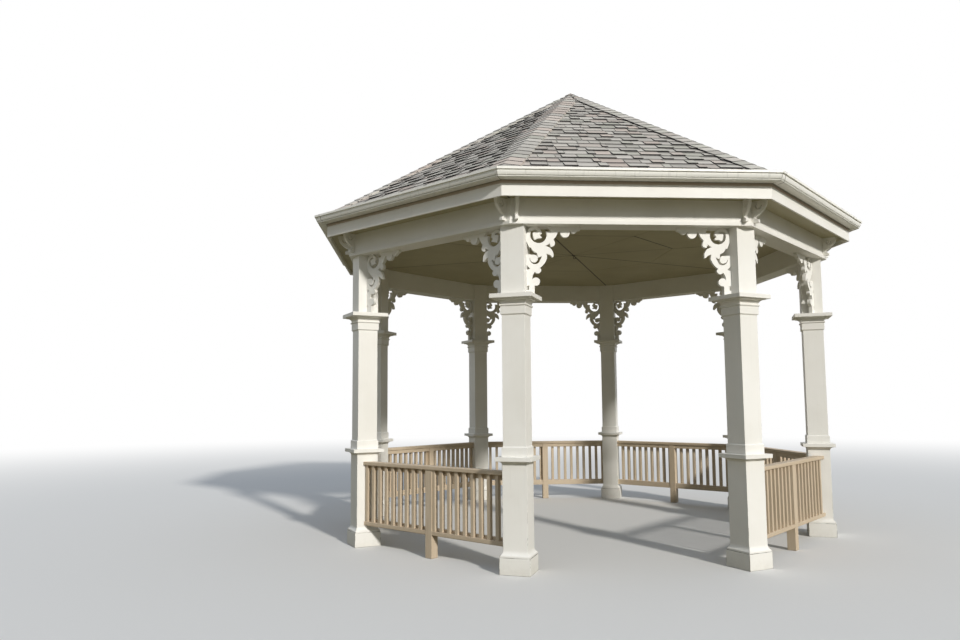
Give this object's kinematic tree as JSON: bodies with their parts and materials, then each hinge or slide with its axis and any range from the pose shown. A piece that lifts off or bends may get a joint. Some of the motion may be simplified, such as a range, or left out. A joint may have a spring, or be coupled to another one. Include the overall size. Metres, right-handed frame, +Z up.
{
  "type": "octagonal bandstand",
  "caption": "Octagonal open bandstand with boxed columns, scroll-sawn brackets, balustrades, an eave with corbels and gutter, and a hipped shingle roof.",
  "frame": {"origin": "centre of the plan, on the ground", "axes": "+Z up, -Y out through the open entrance side, +X to the right seen from outside the entrance"},
  "size_m": [6.3456, 6.3456, 5.6785],
  "materials": {
    "painted_wood": "cream paint",
    "rail_wood": "tan stain",
    "ceiling_wood": "cream paint, matte",
    "shingles": "weathered asphalt shingles",
    "gutter_metal": "white paint",
    "hook_metal": "dull grey"
  },
  "bodies": {
    "root": {"column_1": "painted_wood", "column_2": "painted_wood", "column_3": "painted_wood", "column_4": "painted_wood", "column_5": "painted_wood", "column_6": "painted_wood", "column_7": "painted_wood", "column_8": "painted_wood", "brackets_1": "painted_wood", "brackets_2": "painted_wood", "brackets_3": "painted_wood", "brackets_4": "painted_wood", "brackets_5": "painted_wood", "brackets_6": "painted_wood", "brackets_7": "painted_wood", "brackets_8": "painted_wood", "corbels_1": "painted_wood", "corbels_2": "painted_wood", "corbels_3": "painted_wood", "corbels_4": "painted_wood", "beam_ring": "painted_wood", "frieze_strip": "painted_wood", "fascia": "painted_wood", "railing_2": "rail_wood", "railing_3": "rail_wood", "railing_4": "rail_wood", "railing_5": "rail_wood", "railing_6": "rail_wood", "railing_7": "rail_wood", "railing_8": "rail_wood", "soffit": "ceiling_wood", "ceiling": "ceiling_wood", "gutter": "gutter_metal", "ceiling_hook": "hook_metal", "roof_1": "shingles", "roof_2": "shingles", "roof_3": "shingles", "roof_4": "shingles", "roof_5": "shingles", "roof_6": "shingles", "roof_7": "shingles", "roof_8": "shingles", "roof_cap": "shingles"}
  },
  "joints": []
}
